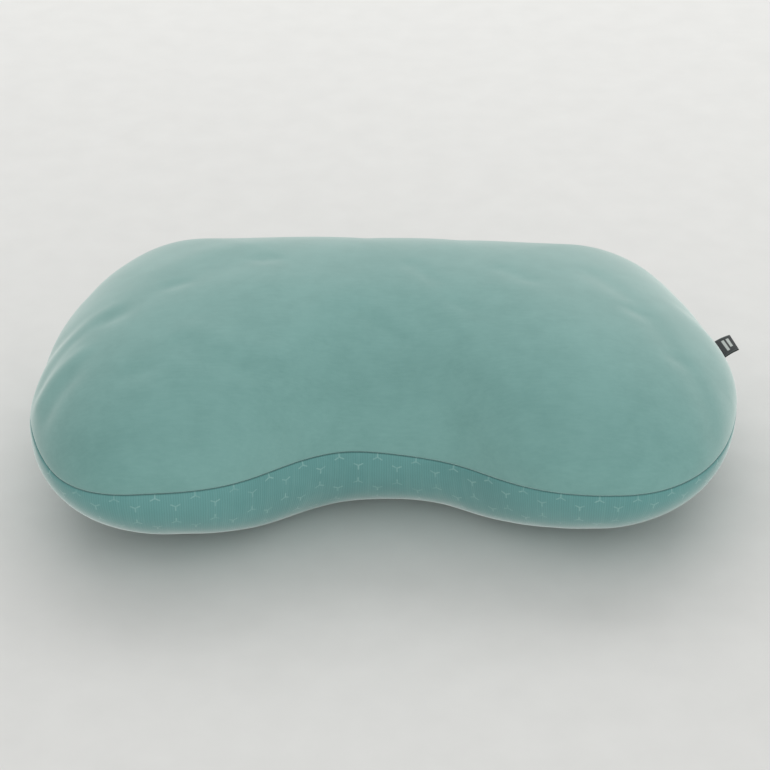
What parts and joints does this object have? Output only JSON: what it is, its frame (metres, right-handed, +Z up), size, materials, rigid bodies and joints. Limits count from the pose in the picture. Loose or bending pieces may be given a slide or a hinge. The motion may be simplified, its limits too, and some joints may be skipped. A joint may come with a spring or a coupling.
{
  "type": "camp pillow",
  "caption": "Kidney-shaped camp pillow: zipped stretch-knit cover with brushed top and patterned rib side, woven side label, lined foam core.",
  "frame": {"origin": "on the flat underside, at the middle of the cushion's length and depth", "axes": "+X along the pillow's length towards the side label, +Y towards the straight zipped back, +Z up through the crown"},
  "size_m": [0.472, 0.2796, 0.13],
  "materials": {
    "brushed_jersey": "matt brushed stretch jersey with a soft pale sheen at grazing angles",
    "rib_knit": "fine rib knit with small pale three-armed knit marks",
    "seam_thread": "spun sewing thread",
    "woven_tape": "plain woven tape",
    "black_woven_label": "dense black damask weave with plain pale woven bars",
    "white_satin": "white satin ribbon",
    "zip_coil": "satin polyester monofilament",
    "zip_metal": "satin grey painted zinc",
    "liner_cloth": "thin pale grey jersey",
    "comfort_foam": "open-cell polyurethane foam, cream",
    "core_foam": "open-cell polyurethane foam, pale blue grey"
  },
  "bodies": {
    "pillow": {"cover_top_panel": "brushed_jersey", "cover_base_panel": "rib_knit", "seam_thread": "seam_thread", "seam_binding": "woven_tape", "care_label": "white_satin", "zip_tape_upper": "woven_tape", "zip_tape_lower": "woven_tape", "zip_coil_upper": "zip_coil", "zip_coil_lower": "zip_coil", "zip_top_stop_upper": "zip_metal", "zip_top_stop_lower": "zip_metal", "zip_bottom_stop": "zip_metal", "liner_top": "liner_cloth", "liner_base": "liner_cloth", "foam_comfort_layer": "comfort_foam", "foam_support_core": "core_foam"},
    "slider": {"zip_slider": "zip_metal"},
    "pull": {"zip_pull": "zip_metal"},
    "label": {"side_label": "black_woven_label"}
  },
  "joints": [
    {"name": "zip_slider_slide", "type": "slide", "parent": "pillow", "child": "slider", "axis": [1, 0, 0], "range_m": [-0.23, 0]},
    {"name": "zip_pull_hinge", "type": "hinge", "parent": "slider", "child": "pull", "pos_m": [0.116, 0.14015, 0.06], "axis": [0, 0, -1], "range_deg": [0, 175]},
    {"name": "side_label_flex", "type": "hinge", "parent": "pillow", "child": "label", "pos_m": [0.22404, 0.03015, 0.06], "axis": [0.2492, -0.9684, 0], "range_deg": [-70, 30], "stiffness_Nm_per_rad": 0.002}
  ]
}
